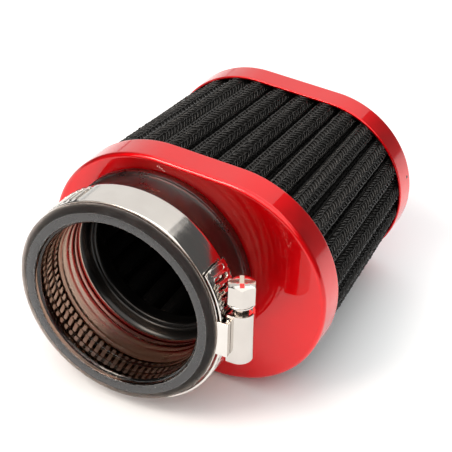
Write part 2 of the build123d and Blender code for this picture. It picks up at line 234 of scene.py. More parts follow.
# -------- materials
class Nodes:
    """Small helper to build a node tree."""

    def __init__(self, name):
        self.material = bpy.data.materials.new(name)
        self.material.use_nodes = True
        self.tree = self.material.node_tree
        self.shader = self.tree.nodes["Principled BSDF"]

    def add(self, kind, **values):
        """New node with the values of some inputs or settings."""
        node = self.tree.nodes.new(kind)
        for key, value in values.items():
            if key in node.inputs:
                node.inputs[key].default_value = value
            else:
                setattr(node, key, value)
        return node

    def link(self, source, target):
        self.tree.links.new(source, target)

    def set(self, **values):
        for key, value in values.items():
            self.shader.inputs[key.replace("_", " ")].default_value = value

    def drive(self, socket, source):
        """Links an output to one of the shader's inputs."""
        self.link(source, self.shader.inputs[socket])

    def attribute(self, name):
        """A number that the mesh stores at each of its points."""
        return self.add("ShaderNodeAttribute", attribute_name=name).outputs["Fac"]

    def mixed(self, share, first, second):
        """Mix of two colours, the second where share is 1; either may be plain or an output."""
        mix = self.add("ShaderNodeMix", data_type="RGBA")
        self.link(share, mix.inputs["Factor"])
        for socket, color in (("A", first), ("B", second)):
            if isinstance(color, tuple):
                mix.inputs[socket].default_value = color
            else:
                self.link(color, mix.inputs[socket])
        return mix.outputs["Result"]

    def mottled(self, noise, low, high, spread=0.2):
        """Uneven mix of two colours that follows a noise."""
        return self.ramp(noise, [(0.5 - spread, low), (0.5 + spread, high)])

    def place(self, texture):
        """Lays a texture out in the object's own metres."""
        self.link(self.add("ShaderNodeTexCoord").outputs["Object"], texture.inputs["Vector"])

    def noise(self, scale, detail=3.0, roughness=0.5, stretch=(1, 1, 1)):
        """Noise with a number of features per metre."""
        mapping = self.add("ShaderNodeMapping", Scale=stretch)
        self.place(mapping)
        noise = self.add("ShaderNodeTexNoise", Scale=scale, Detail=detail, Roughness=roughness)
        self.link(mapping.outputs["Vector"], noise.inputs["Vector"])
        return noise.outputs["Fac"]

    def ramp(self, source, stops):
        """Colours at places from 0 to 1."""
        ramp = self.add("ShaderNodeValToRGB")
        elements = ramp.color_ramp.elements
        while len(elements) < len(stops):
            elements.new(0.5)
        for element, (place, color) in zip(elements, stops):
            element.position = place
            element.color = color
        self.link(source, ramp.inputs["Fac"])
        return ramp.outputs["Color"]

    def dusted(self, color):
        """Sparse pale specks of dust over a colour."""
        cells = self.add("ShaderNodeTexVoronoi", Scale=260.0)
        self.place(cells)
        speck = self.ramp(cells.outputs["Distance"], [(0.035, grey(1)), (0.056, grey(0))])
        return self.mixed(speck, color, (0.55, 0.53, 0.5, 1))

    def bump(self, height, strength, distance):
        bump = self.add("ShaderNodeBump", Strength=strength, Distance=distance)
        self.link(height, bump.inputs["Height"])
        return bump.outputs["Normal"]


def grey(value):
    return (value, value, value, 1)


def red_paint():
    nodes = Nodes("red_anodised")
    nodes.set(Metallic=1.0, IOR=1.5, Coat_Weight=1.0, Coat_Roughness=0.03, Coat_IOR=1.5)
    tone = nodes.mottled(nodes.noise(35, 4), (0.72, 0, 0.003, 1), (0.78, 0.001, 0.005, 1), 0.15)
    nodes.drive("Base Color", tone)
    nodes.drive("Roughness", nodes.mottled(nodes.noise(240, 5), grey(0.44), grey(0.52)))
    nodes.drive("Coat Normal", nodes.bump(nodes.noise(90, 2), 0.05, 0.00006))
    return nodes.material


def neck_rubber():
    """Smoky brown translucent rubber, clear where it was moulded on polished steel.

    The mesh says where the surface is satin and where handling and dust have dulled it. It is one
    material all over, because light goes in at one side of the neck and out at the other.
    """
    nodes = Nodes("neck_rubber")
    nodes.set(IOR=1.5)
    dull = nodes.attribute("dull")
    satin = nodes.attribute("satin")
    clear = nodes.mottled(nodes.noise(60, 5, 0.6), grey(0.88), grey(0.96))
    haze = nodes.mottled(nodes.noise(40, 3), (0.070, 0.071, 0.075, 1), (0.084, 0.085, 0.090, 1))
    nodes.drive("Base Color", nodes.mixed(dull, clear, nodes.dusted(haze)))
    nodes.drive("Transmission Weight", nodes.ramp(dull, [(0.0, grey(1.0)), (1.0, grey(0.45))]))
    uneven = nodes.mottled(nodes.noise(150, 6, 0.65), grey(0.7), grey(1.3))
    finish = nodes.add("ShaderNodeMath", operation="MULTIPLY")
    nodes.link(satin, finish.inputs[0])
    nodes.link(uneven, finish.inputs[1])
    nodes.drive("Roughness", finish.outputs[0])
    nodes.drive("Normal", nodes.bump(nodes.noise(900, 4), 0.03, 0.00003))
    depth = nodes.add("ShaderNodeVolumeAbsorption", Color=(0.55, 0.37, 0.24, 1), Density=RUBBER_DENSITY)
    nodes.link(depth.outputs["Volume"], nodes.tree.nodes["Material Output"].inputs["Volume"])
    return nodes.material


def knit_yarn():
    """Black yarn with painted shade down in the folds, where it is also rougher, and shinier on the ridges.
    """
    nodes = Nodes("knit_yarn")
    nodes.set(IOR=1.5, Specular_IOR_Level=0.5)
    tone = nodes.mottled(nodes.noise(700), (0.003, 0.0028, 0.0027, 1), (0.032, 0.031, 0.030, 1))
    ridge_lit = nodes.attribute("ridge_lit")
    # painted shade: down in the folds the yarn's colour falls to near black
    nodes.drive("Base Color", nodes.mixed(ridge_lit, (0.001, 0.001, 0.001, 1), tone))
    nodes.drive("Roughness", nodes.ramp(ridge_lit, [(0.0, grey(0.8)), (0.6, grey(0.22))]))
    nodes.drive("Normal", nodes.bump(nodes.noise(4000), 0.3, 0.00006))
    return nodes.material


def backing_cloth():
    nodes = Nodes("black_mesh_ground")
    nodes.set(Roughness=0.85)
    nodes.drive("Base Color", nodes.mottled(nodes.noise(900, 4), grey(0.002), grey(0.009), 0.15))
    nodes.drive("Normal", nodes.bump(nodes.noise(2500, 4), 0.5, 0.0001))
    return nodes.material


def polished_steel(name, dark, light):
    """Steel with fine marks drawn out along the strip."""
    nodes = Nodes(name)
    nodes.set(Metallic=1.0, Roughness=0.12)
    nodes.drive("Base Color", nodes.mottled(nodes.noise(120, 5), dark, light))
    nodes.drive("Roughness", nodes.mottled(nodes.noise(220, 6, 0.6, (1, 8, 1)), grey(0.07), grey(0.17)))
    nodes.drive("Normal", nodes.bump(nodes.noise(500, 4, 0.6, (1, 10, 1)), 0.06, 0.00003))
    return nodes.material


def potting_compound():
    nodes = Nodes("potting")
    nodes.set(Roughness=0.22, Specular_IOR_Level=0.35)
    nodes.drive("Base Color", nodes.mottled(nodes.noise(90, 4), grey(0.002), grey(0.005)))
    nodes.drive("Normal", nodes.bump(nodes.noise(300, 4), 0.12, 0.0001))
    return nodes.material


def scuffed_paint():
    """Paint rubbed pale at a few tiny spots."""
    nodes = Nodes("scuffed_paint")
    nodes.set(Roughness=0.5)
    tone = nodes.mottled(nodes.noise(2000, 2), (0.75, 0.30, 0.28, 1), (0.90, 0.62, 0.58, 1))
    nodes.drive("Base Color", tone)
    return nodes.material


def woven(name, color, pitch):
    """Fine square weave for the inner layers."""
    nodes = Nodes(name)
    nodes.set(Roughness=0.7, Specular_IOR_Level=0.15)
    both = nodes.add("ShaderNodeMath", operation="MAXIMUM")
    for index, direction in enumerate(("X", "Y")):
        wave = nodes.add("ShaderNodeTexWave", bands_direction=direction, Scale=0.5 / pitch, Distortion=0.5)
        nodes.place(wave)
        nodes.link(wave.outputs["Fac"], both.inputs[index])
    dark = tuple(channel * 0.4 for channel in color[:3]) + (1,)
    nodes.drive("Base Color", nodes.ramp(both.outputs[0], [(0.3, dark), (0.8, color)]))
    nodes.drive("Normal", nodes.bump(both.outputs[0], 0.6, 0.0002))
    return nodes.material


def floor_paper():
    nodes = Nodes("floor_paper")
    nodes.set(Roughness=0.9, Specular_IOR_Level=0.2)
    tone = nodes.mottled(nodes.noise(3, 2), (0.87, 0.915, 0.955, 1), (0.885, 0.93, 0.97, 1))
    nodes.drive("Base Color", tone)
    return nodes.material


RED = red_paint()
RUBBER = neck_rubber()
YARN = knit_yarn()
GROUND = backing_cloth()
STEEL = polished_steel("clamp_steel", (0.67, 0.635, 0.60, 1), (0.73, 0.70, 0.665, 1))
# the screw and its housing get a darker copy of the clamp's steel: painted shade that tones down their
# bright reflections
SCREW_STEEL = polished_steel("screw_steel", (0.55, 0.515, 0.485, 1), (0.61, 0.575, 0.54, 1))
SCUFF = scuffed_paint()
POTTING = potting_compound()


# -------- caps
def base_cap():
    """Pan with a rounded front edge, and the drawn collar inside the neck."""
    spine = oval_spine(BASE_HALF)
    outer = oval_row(BASE_HALF, 0, 0, spine)
    angles = np.arctan2(outer[:, 2], outer[:, 0])
    inner_face = FACE_Y + SHEET
    hem = [(SHEET, inner_face), (SHEET, BASE_BACK - 0.4)] + rolled_hem(BASE_BACK, -0.3)
    wall = [(0, BASE_BACK - 0.6), (0, (BASE_BACK + FACE_Y) / 2), (0, FACE_Y + EDGE_R + 0.15)]
    edge = cap_edge(FACE_Y + EDGE_R, -90)
    rows = [oval_row(BASE_HALF, inset, y, spine) for inset, y in hem + wall + edge]
    rim = oval_row(BASE_HALF, EDGE_R + 0.25, FACE_Y, spine)
    outside_r, middle_r = COLLAR_R + SHEET, COLLAR_R + SHEET / 2
    root = circle_row(outside_r, FACE_Y, angles)
    rows += [rim * (1 - share) + root * share for share in (0, 0.12, 0.3, 0.5, 0.7, 0.85, 1.0)]
    collar = [(outside_r, FACE_Y - 0.2)]
    collar += rounded((outside_r, COLLAR_Y + 0.4), (outside_r, COLLAR_Y), (middle_r, COLLAR_Y), 3)
    collar += rounded((middle_r, COLLAR_Y), (COLLAR_R, COLLAR_Y), (COLLAR_R, COLLAR_Y + 0.4), 3)[1:]
    collar += [(COLLAR_R, FACE_Y - 1), (COLLAR_R, inner_face)]
    rows += [circle_row(radius, y, angles) for radius, y in collar]
    faces = grid_faces(len(rows), len(angles), close_rows=True)
    return make_piece("base_cap_shell", np.concatenate(rows), faces, RED, "filter",
                      ["base_cap"])


def end_cap():
    """Pan with a rounded back edge and a pressed panel in its back."""
    spine = oval_spine(END_HALF)
    front, back = END_LOW[1], END_HIGH[1]
    panel_back, panel_middle = back - PANEL_DEPTH, back - PANEL_DEPTH / 2
    centre_inset = END_HALF[1]
    outside = rolled_hem(front, 0.3)
    outside += [(0, front + 0.6), (0, (front + back) / 2), (0, back - EDGE_R - 0.15)]
    outside += cap_edge(back - EDGE_R, 90)
    outside += [(EDGE_R + 0.2, back), (PANEL_INSET - 0.9, back), (PANEL_INSET - 0.5, back)]
    outside += rounded((PANEL_INSET - 0.4, back), (PANEL_INSET, back), (PANEL_INSET, panel_middle), 4)
    outside += rounded((PANEL_INSET, panel_middle), (PANEL_INSET, panel_back),
                       (PANEL_INSET + 0.4, panel_back), 4)[1:]
    # the ring close to the centre keeps the closed middle's shading off the panel
    outside += [(PANEL_INSET + 0.9, panel_back), (centre_inset - 6, panel_back)]
    outside += [(centre_inset - 0.1, panel_back), (centre_inset, panel_back)]
    inside = [(inset, panel_back - SHEET) for inset in (centre_inset, centre_inset - 6, SHEET + 0.6)]
    inside += [(SHEET, back - EDGE_R - 0.6), (SHEET, front + 0.6)]
    rows = [oval_row(END_HALF, inset, y, spine) for inset, y in outside + inside]
    faces = grid_faces(len(rows), len(spine[0]), close_rows=True)
    return make_piece("end_cap_shell", np.concatenate(rows), faces, RED, "filter",
                      ["end_cap"])


# -------- rubber neck
def turned(profile):
    """Grid of a closed profile of (radius, y) turned round the neck's axis."""
    angles = np.linspace(0, 2 * math.pi, ROUND_COLUMNS, endpoint=False)
    rows = np.concatenate([circle_row(radius, y, angles) for radius, y in profile])
    return rows, grid_faces(len(profile), ROUND_COLUMNS, close_rows=True)


def bore_ring(y):
    """Profile of a fine ring that stands in from the bore, from back to front."""
    return [(BORE_R, y + 0.34), (BORE_R - 0.16, y + 0.2), (BORE_R - 0.22, y),
            (BORE_R - 0.16, y - 0.2), (BORE_R, y - 0.34)]


def neck():
    """Turned neck of smoky translucent rubber, with fine rings round its bore."""
    # the mouth's flat ring with a fine groove, the lip's rounded shoulder, and the clamp's seat
    profile = [(25.6, 0.0), (27.3, 0.0), (27.4, 0.06), (27.5, 0.06), (27.6, 0.0)]
    profile += rounded((27.7, 0.0), (29.3, 0.02), (29.9, 1.2), 12)
    profile += rounded((LIP_R - 0.05, 1.25), (LIP_R - 0.05, LIP_WIDTH), (LIP_R - 0.4, LIP_WIDTH), 3)
    profile += [(GROOVE_R + 0.05, LIP_WIDTH), (GROOVE_R, LIP_WIDTH + 0.15), (GROOVE_R, 12.6)]
    # the slope down to the waist, and the root against the cap
    profile += rounded((GROOVE_R, 12.8), (GROOVE_R, 13.2), (GROOVE_R - 0.3, 13.5), 3)
    profile += rounded((28.9, 13.7), (WAIST_R, 17.0), (WAIST_R, 20.0), 10)
    profile += rounded((WAIST_R, 20.5), (WAIST_R, 22.4), (WAIST_R + 0.6, 22.6), 4)
    profile += rounded((ROOT_R - 0.3, 22.6), (ROOT_R, 22.6), (ROOT_R, 23.0), 4)
    profile += [(ROOT_R, 23.6), (ROOT_R, FACE_Y - 0.3), (ROOT_R - 0.15, FACE_Y - 0.04)]
    # the seat round the collar, the bore with its rings, and the lead-in at the mouth
    profile += [(SEAT_R, FACE_Y - 0.04), (SEAT_R, COLLAR_Y - 0.08), (BORE_R + 0.3, COLLAR_Y - 0.08)]
    profile += [(BORE_R, COLLAR_Y - 0.35), (BORE_R, COLLAR_Y - 0.8), (BORE_R, COLLAR_Y - 2.0)]
    for ring_y in reversed(BORE_RINGS):
        profile += bore_ring(ring_y)
    profile += [(BORE_R, 2.4)]
    profile += rounded((BORE_R, 2.2), (BORE_R, 1.8), (BORE_R + 0.3, 1.5), 4)
    profile += [(24.62, 1.18), (24.7, 1.2), (24.8, 1.1), (24.82, 0.96)]
    profile += rounded((24.9, 0.4), (25.2, 0.0), (25.5, 0.0), 4)
    vertices, faces = turned(profile)
    piece = make_piece("neck_rubber_boot", vertices, faces, RUBBER, "filter", ["neck_boot"])
    finish = np.array([neck_finish(math.hypot(point.co.x, point.co.z) / MM, point.co.y / MM)
                       for point in piece.data.vertices])
    for column, name in enumerate(("satin", "dull")):
        layer = piece.data.attributes.new(name, "FLOAT", "POINT")
        layer.data.foreach_set("value", finish[:, column].astype(np.float32))
    return piece


def neck_finish(radius, y):
    """How satin and how dull the neck's surface is at a radius and a depth from its mouth."""
    on_mouth = y < 0.1 and 25.2 < radius < 27.65
    on_lip = y < LIP_WIDTH + 0.1 and radius > 27.65
    behind_groove = y > 13.0 and radius > 27.0
    if on_mouth:
        return 0.28, 1.0
    if on_lip:
        return 0.85, 0.0
    if behind_groove:
        return 0.34, 0.0
    return 0.05, 0.0


def throat_ring():
    """Potting drawn up inside the collar, rounded at the throat, with a thin sleeve round the collar."""
    outer = COLLAR_R - 0.02
    profile = [(outer, COLLAR_Y)]
    profile += rounded((24.2, COLLAR_Y + 0.1), (23.4, COLLAR_Y + 0.6), (22.7, FACE_Y - 0.7), 8)
    profile += rounded((22.6, FACE_Y - 0.5), (22.3, FACE_Y), (21.9, FACE_Y), 5)
    profile += rounded((21.7, FACE_Y), (THROAT_R, FACE_Y + 0.1), (THROAT_R, FACE_Y + 0.9), 6)
    profile += [(THROAT_R, FACE_Y + 2.5), (outer, FACE_Y + 2.5)]
    vertices, faces = turned(profile)
    inner, outer = COLLAR_R + SHEET + 0.01, COLLAR_R + SHEET + 0.04
    low, high = COLLAR_Y - 0.03, FACE_Y - 0.02
    sleeve, sleeve_faces = turned([(inner, low), (outer, low), (outer, high), (inner, high)])
    faces += shifted(sleeve_faces, len(vertices))
    return make_piece("potting_throat_ring", np.concatenate([vertices, sleeve]), faces, POTTING, "filter",
                      ["base_potting"])


# -------- pleated media
def oval_point(half, turns):
    """Point and outward normal at a share of the way round an oval."""
    straight = 2 * (half[0] - half[1])
    bend = math.pi * half[1] / 2
    left = (turns % 1.0) * (2 * straight + 4 * bend)
    offset = half[0] - half[1]
    if left < bend:
        return end_point(offset, half[1], left / half[1])
    left -= bend
    if left < straight:
        return np.array([offset - left, half[1]]), np.array([0.0, 1.0])
    left -= straight
    if left < 2 * bend:
        return end_point(-offset, half[1], math.pi / 2 + left / half[1])
    left -= 2 * bend
    if left < straight:
        return np.array([-offset + left, -half[1]]), np.array([0.0, -1.0])
    left -= straight
    return end_point(offset, half[1], 1.5 * math.pi + left / half[1])


def end_point(offset, radius, angle):
    """The same on one of the oval's round ends."""
    normal = np.array([math.cos(angle), math.sin(angle)])
    return np.array([offset, 0.0]) + radius * normal, normal


def fold_arc(centre, radius, sign, first, last, steps):
    """Points and outward normals round a fold, between the outward directions beside it."""
    start = math.atan2(first[1] * sign, first[0] * sign)
    finish = math.atan2(last[1] * sign, last[0] * sign)
    sweep = (finish - start + math.pi) % (2 * math.pi) - math.pi
    angle = start + sweep * np.arange(steps) / steps
    ways = np.stack([np.cos(angle), np.sin(angle)], 1)
    return centre + ways * radius, ways * sign


def pleat_section(half, depth):
    """Outline of the pleats round an oval, with its outward normals, from ridge to ridge."""
    folds = []
    for index in range(2 * PLEATS):
        point, normal = oval_point(half, (index / 2 + PLEAT_PHASE) / PLEATS)
        down = RIDGE_R if index % 2 == 0 else depth - VALLEY_R
        folds.append((point - normal * down, normal))
    flank_share = np.arange(8)[:, None] / 8
    points, normals = [], []
    for index, (centre, outward) in enumerate(folds):
        after, outward_after = folds[(index + 1) % len(folds)]
        if index % 2 == 0:
            way, sign = after - centre, 1
            radius, steps, radius_after, steps_after = RIDGE_R, 10, VALLEY_R, 4
        else:
            way, sign = centre - after, -1
            radius, steps, radius_after, steps_after = VALLEY_R, 4, RIDGE_R, 10
        span = math.hypot(*way)
        along = (RIDGE_R + VALLEY_R) / span
        beside = -sign * math.sqrt(1 - along * along)
        flank = np.array([way[0] * along - way[1] * beside, way[1] * along + way[0] * beside]) / span
        flank_start = centre + flank * radius * sign
        flank_end = after - flank * radius_after * sign
        fold, fold_normals = fold_arc(centre, radius, sign, outward, flank, steps)
        fold_after, normals_after = fold_arc(after, radius_after, -sign, flank, outward_after, steps_after)
        points += [fold, flank_start + (flank_end - flank_start) * flank_share, fold_after]
        normals += [fold_normals, np.tile(flank, (len(flank_share), 1)), normals_after]
    return np.concatenate(points), np.concatenate(normals)


class Media:
    """The pleated surface: a place is a distance along its outline, and y runs from cap to cap."""

    def __init__(self):
        self.low, self.high = MEDIA_LOW[1], MEDIA_HIGH[1]
        base_half = tuple(reach - SHEET - BASE_RIDGE_GAP for reach in BASE_HALF)
        end_half = tuple(reach - SHEET - END_RIDGE_GAP for reach in END_HALF)
        self.base, self.base_normals = pleat_section(base_half, BASE_PLEAT_DEPTH)
        self.end, self.end_normals = pleat_section(end_half, END_PLEAT_DEPTH)
        self.base[:, 0] += CENTRE_X
        self.end[:, 0] += CENTRE_X
        closed = np.concatenate([self.base, self.base[:1]])
        steps = np.hypot(*np.diff(closed, axis=0).T)
        self.length = np.concatenate([[0], np.cumsum(steps)])
        self.count = len(self.base)
        self.per_pleat = self.count // PLEATS

    def spread(self, wales):
        """Places along the outline, the same number on each pleat, evenly spaced from ridge to ridge."""
        places = []
        for pleat in range(PLEATS):
            first = self.length[pleat * self.per_pleat]
            last = self.length[(pleat + 1) * self.per_pleat]
            places += [first + (last - first) * wale / wales for wale in range(wales)]
        return np.array(places)

    def at(self, place, y, lift):
        """Points over the surface, with the surface's normals."""
        place = np.mod(place, self.length[-1])
        index = np.interp(place, self.length, np.arange(self.count + 1))
        low = np.floor(index).astype(int) % self.count
        high = (low + 1) % self.count
        share = (index - np.floor(index))[..., None]
        along = ((np.asarray(y) - self.low) / (self.high - self.low))[..., None]
        flat = []
        for ring, normals in ((self.base, self.base_normals), (self.end, self.end_normals)):
            point = ring[low] * (1 - share) + ring[high] * share
            normal = normals[low] * (1 - share) + normals[high] * share
            flat.append((point, normal))
        point = flat[0][0] * (1 - along) + flat[1][0] * along
        normal = flat[0][1] * (1 - along) + flat[1][1] * along
        normal = normal / np.linalg.norm(normal, axis=-1, keepdims=True)
        point = point + normal * np.asarray(lift)[..., None]
        y = np.broadcast_to(y, point.shape[:-1])
        points = np.stack([point[..., 0], y, point[..., 1]], -1)
        normals = np.stack([normal[..., 0], np.zeros_like(y), normal[..., 1]], -1)
        return points, normals


MEDIA = Media()


def pleated_ground():
    """The dark ground behind the knitted yarns."""
    lift = np.full(MEDIA.count, -0.05)
    rows = []
    for y in np.linspace(MEDIA.low, MEDIA.high, 22):
        points, _ = MEDIA.at(MEDIA.length[:-1], np.full(MEDIA.count, y), lift)
        rows.append(points)
    faces = grid_faces(len(rows), MEDIA.count)
    return make_piece("mesh_cover_ground", np.concatenate(rows), faces, GROUND, "filter",
                      ["mesh_cover"])


def yarn_tubes(name, place, y, lift, radius, ridge_lit, sides=3):
    """Many short yarns at once: each row of the arrays is one yarn's path over the media.

    The given share of ridge light is 1 for yarns on top of the pleats and 0 for those down in the folds,
    which the yarn material darkens with painted shade.
    """
    points, normals = MEDIA.at(place, y, lift)
    tangent = np.gradient(points, axis=1)
    tangent /= np.linalg.norm(tangent, axis=-1, keepdims=True)
    side = np.cross(tangent, normals)
    side /= np.linalg.norm(side, axis=-1, keepdims=True)
    normals = np.cross(side, tangent)
    turn = np.arange(sides) * 2 * math.pi / sides
    ring = (np.cos(turn)[:, None] * normals[:, :, None, :] + np.sin(turn)[:, None] * side[:, :, None, :])
    vertices = points[:, :, None, :] + ring * np.asarray(radius)[:, :, None, None]
    yarns, stations = place.shape
    base = np.arange(yarns)[:, None, None] * stations * sides
    rows = np.arange(stations - 1)[None, :, None] * sides
    columns = np.arange(sides)[None, None, :]
    beside = (columns + 1) % sides
    faces = np.stack([base + rows + columns, base + rows + beside,
                      base + rows + sides + beside, base + rows + sides + columns], -1).reshape(-1, 4)
    piece = yarn_piece(name, vertices.reshape(-1, 3), faces)
    height = piece.data.attributes.new("ridge_lit", "FLOAT", "POINT")
    height.data.foreach_set("value", np.repeat(ridge_lit, stations * sides).astype(np.float32))
    return piece


def yarn_piece(name, vertices, faces):
    """Piece from large arrays of vertices and of faces with four corners."""
    mesh = bpy.data.meshes.new(name)
    mesh.vertices.add(len(vertices))
    mesh.vertices.foreach_set("co", (vertices * MM).astype(np.float32).ravel())
    mesh.loops.add(faces.size)
    mesh.loops.foreach_set("vertex_index", faces.astype(np.int32).ravel())
    mesh.polygons.add(len(faces))
    mesh.polygons.foreach_set("loop_start", np.arange(0, faces.size, 4, dtype=np.int32))
    mesh.update(calc_edges=True)
    mesh.validate()
    mesh.shade_smooth()
    return add_piece(name, mesh, YARN, "filter", ["mesh_cover"])


def knit():
    """Warp-knitted cover: chains of loops along each pleat, joined by slanting yarns."""
    rng = np.random.default_rng(7)
    wales = MEDIA.spread(WALES_PER_PLEAT)
    closed = np.concatenate([wales, [MEDIA.length[-1]]])
    rows = int((MEDIA.high - MEDIA.low) / STITCH_PITCH)
    course = (MEDIA.high - MEDIA.low) / rows
    thirds = np.array_split(np.arange(len(wales)), 3)
    for part, columns in enumerate(thirds, 1):
        wale, row = (index.ravel() for index in np.meshgrid(columns, np.arange(rows), indexing="ij"))
        count = (len(wale), 1)
        fold = np.abs((wale % WALES_PER_PLEAT + 0.5) / WALES_PER_PLEAT - 0.5) * 2
        # 1 on the pleats' ridges and 0 down in the folds: how little of the folds' painted shade each yarn
        # gets
        ridge_lit = np.clip((fold - 0.45) / 0.35, 0, 1) ** 1.5
        left = closed[wale][:, None] + rng.normal(0, 0.05, count)
        width = (closed[wale + 1] - closed[wale])[:, None]
        bottom = MEDIA.low + (row[:, None] + 0.1) * course + rng.normal(0, 0.08, count)
        # yarns that slant across from one chain to the next
        share = np.linspace(0, 1, 5)[None, :]
        slope = np.where(wale % 2 == 0, 1.0, -1.0)[:, None] * (1 + rng.normal(0, 0.12, count))
        rise = course * 1.05 * (slope * share + np.where(slope > 0, 0, 1))
        lift = 0.06 + (0.30 + rng.normal(0, 0.06, count)) * np.sin(math.pi * share) ** 0.7
        radius = YARN_R * (1 + rng.normal(0, 0.1, count)) * (0.8 + 0.3 * np.sin(math.pi * share))
        height = np.clip(bottom + rise, MEDIA.low, MEDIA.high)
        yarn_tubes(f"mesh_cover_yarns_{part}", left + width * share, height, lift, radius, ridge_lit)
        # the chains' loops, swaying from side to side
        share = np.linspace(0, 1, 4)[None, :]
        sway = 0.18 * np.sin(2 * math.pi * share) * np.where(row % 2 == 0, 1, -1)[:, None]
        lift = 0.22 + (0.20 + rng.normal(0, 0.05, count)) * np.sin(math.pi * share)
        height = np.clip(bottom + course * 1.1 * share, MEDIA.low, MEDIA.high)
        radius = np.full(height.shape, YARN_R)
        yarn_tubes(f"mesh_cover_chains_{part}", left + sway, height, lift, radius, ridge_lit)


# -------- hose clamp
def copied(node, name, bevel, material, body):
    """Copy of a CAD node with its edges rounded."""
    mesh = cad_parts[node].data.copy()
    mesh.materials.clear()
    data = bmesh.new()
    data.from_mesh(mesh)
    bmesh.ops.remove_doubles(data, verts=data.verts, dist=2e-6)
    bmesh.ops.dissolve_limit(data, angle_limit=math.radians(0.5), verts=data.verts, edges=data.edges)
    data.to_mesh(mesh)
    data.free()
    mesh.shade_smooth()
    piece = add_piece(name, mesh, material, body, [node])
    bevels = piece.modifiers.new("edges", "BEVEL")
    bevels.width = bevel * MM
    bevels.segments = 3
    bevels.limit_method = "ANGLE"
    bevels.angle_limit = math.radians(40)
    bevels.harden_normals = False
    piece.modifiers.new("normals", "WEIGHTED_NORMAL")
    sharpen(piece, 40)
    return piece


def clamp_place(points):
    """Turns points from the clamp's own +X to where the clamp sits."""
    x = points[:, 0] * math.cos(CLAMP_TURN) - points[:, 2] * math.sin(CLAMP_TURN)
    z = points[:, 0] * math.sin(CLAMP_TURN) + points[:, 2] * math.cos(CLAMP_TURN)
    return np.stack([x, points[:, 1], z], 1)


def loop_line(u, h):
    """Point at a distance u along the loop and a height h over its outer face."""
    radius = BAND_R + BAND_T + h
    angle = u / (BAND_R + BAND_T)
    return radius * np.cos(angle), radius * np.sin(angle)


def loop_skew(u):
    """How far the loop sits from its middle plane, because it runs askew under the neck."""
    angle = np.degrees(np.asarray(u) / (BAND_R + BAND_T))
    share = np.clip((angle - SKEW_FROM) / (SKEW_TO - SKEW_FROM), 0, 1)
    return SKEW * (1 - np.cos(2 * math.pi * share)) / 2


def no_skew(u):
    """The free end runs square."""
    return np.zeros(np.shape(u))


def tail_line(u, h):
    """The same for the free end: a large arc that closes in on the loop below the screw."""
    outer = TAIL_R + BAND_T
    angle = u / outer
    knee = math.radians(TAIL_STRAIGHT)
    closing = TAIL_CLOSING_R + BAND_T
    offset = TAIL_R - TAIL_CLOSING_R
    centre_x, centre_z = offset * math.cos(knee), offset * math.sin(knee)
    turn = knee + (u - knee * outer) / closing
    x = np.where(angle >= knee, (outer + h) * np.cos(angle), centre_x + (closing + h) * np.cos(turn))
    z = np.where(angle >= knee, (outer + h) * np.sin(angle), centre_z + (closing + h) * np.sin(turn))
    return x, z


def strip_edge(half):
    """Rounded edge of the strip from its outer to its inner face, as (v, h): v across and h up."""
    outer = [(half - EDGE_ROUND, 0.0), (half - EDGE_ROUND * 0.3, -EDGE_ROUND * 0.3), (half, -EDGE_ROUND)]
    return outer + [(v, -BAND_T - h) for v, h in reversed(outer)]


def plain_section(half):
    """Closed cross-section of the strip as (v, h); its points match the slotted cells' sides."""
    straight = (SLOT_LENGTH - SLOT_WIDTH) / 2
    full = BAND_WIDTH / 2 - EDGE_ROUND
    scale = min(full, half - EDGE_ROUND) / full
    rise = full - straight
    values = [straight * k / 2 for k in range(0, 3)] + [straight + rise * k / 4 for k in range(1, 5)]
    values = sorted(set([-v for v in values] + values))
    top = [(v * scale, 0.0) for v in values]
    right = strip_edge(half)[1:-1]
    bottom = [(v, -BAND_T) for v, _ in reversed(top)]
    left = [(-v, h) for v, h in reversed(right)]
    return top + right + bottom + left


def slot_outline(cell, count_side=4, count_end=8):
    """Slot outline as (u, v), and the point on the cell's edge that each one faces."""
    straight = (SLOT_LENGTH - SLOT_WIDTH) / 2
    half_u = cell / 2
    half_v = BAND_WIDTH / 2 - EDGE_ROUND
    sides = [-straight + 2 * straight * k / count_side for k in range(count_side + 1)]
    outline_end, border_end = slot_end(straight, half_u, half_v, count_end)
    outline = [(SLOT_WIDTH / 2, v) for v in sides] + outline_end
    border = [(half_u, v) for v in sides] + border_end
    outline += [(-u, -v) for u, v in outline]
    border += [(-u, -v) for u, v in border]
    return np.array(outline), np.array(border)


def slot_end(straight, half_u, half_v, count):
    """Points round a slot's end, with the matching points along the cell's edge."""
    outline, border = [], []
    rise = half_v - straight
    corner = count // 2
    for k in range(1, count):
        angle = math.pi * k / count
        outline.append((SLOT_WIDTH / 2 * math.cos(angle), straight + SLOT_WIDTH / 2 * math.sin(angle)))
        if k < corner:
            border.append((half_u, straight + rise * k / corner))
        elif k == corner:
            border.append((0.0, half_v))
        else:
            border.append((-half_u, straight + rise * (count - k) / corner))
    return outline, border


def slot_rings(cell):
    """Rings from the cell's outer face down through the slanted slot, as (points in (u, v), h).

    A raised rim, as pressing leaves it, runs round the slot.
    """
    outline, border = slot_outline(cell)
    cosine, sine = math.cos(SLOT_SLANT), math.sin(SLOT_SLANT)
    turn = np.array([[cosine, -sine], [sine, cosine]])
    slanted = outline @ turn.T
    straight = (SLOT_LENGTH - SLOT_WIDTH) / 2
    centre_line = np.clip(outline[:, 1], -straight, straight)
    middle = np.stack([np.zeros(len(outline)), centre_line], 1) @ turn.T
    outward = (slanted - middle) / (SLOT_WIDTH / 2)
    rim = [(0.36, 0.0), (0.27, 0.07), (0.16, 0.13), (0.05, 0.10), (0.0, -0.02)]
    rim += [(0.0, 0.05 - BAND_T), (0.1, -BAND_T)]
    return [(border, 0.0)] + [(slanted + outward * reach, h) for reach, h in rim] + [(border, -BAND_T)]


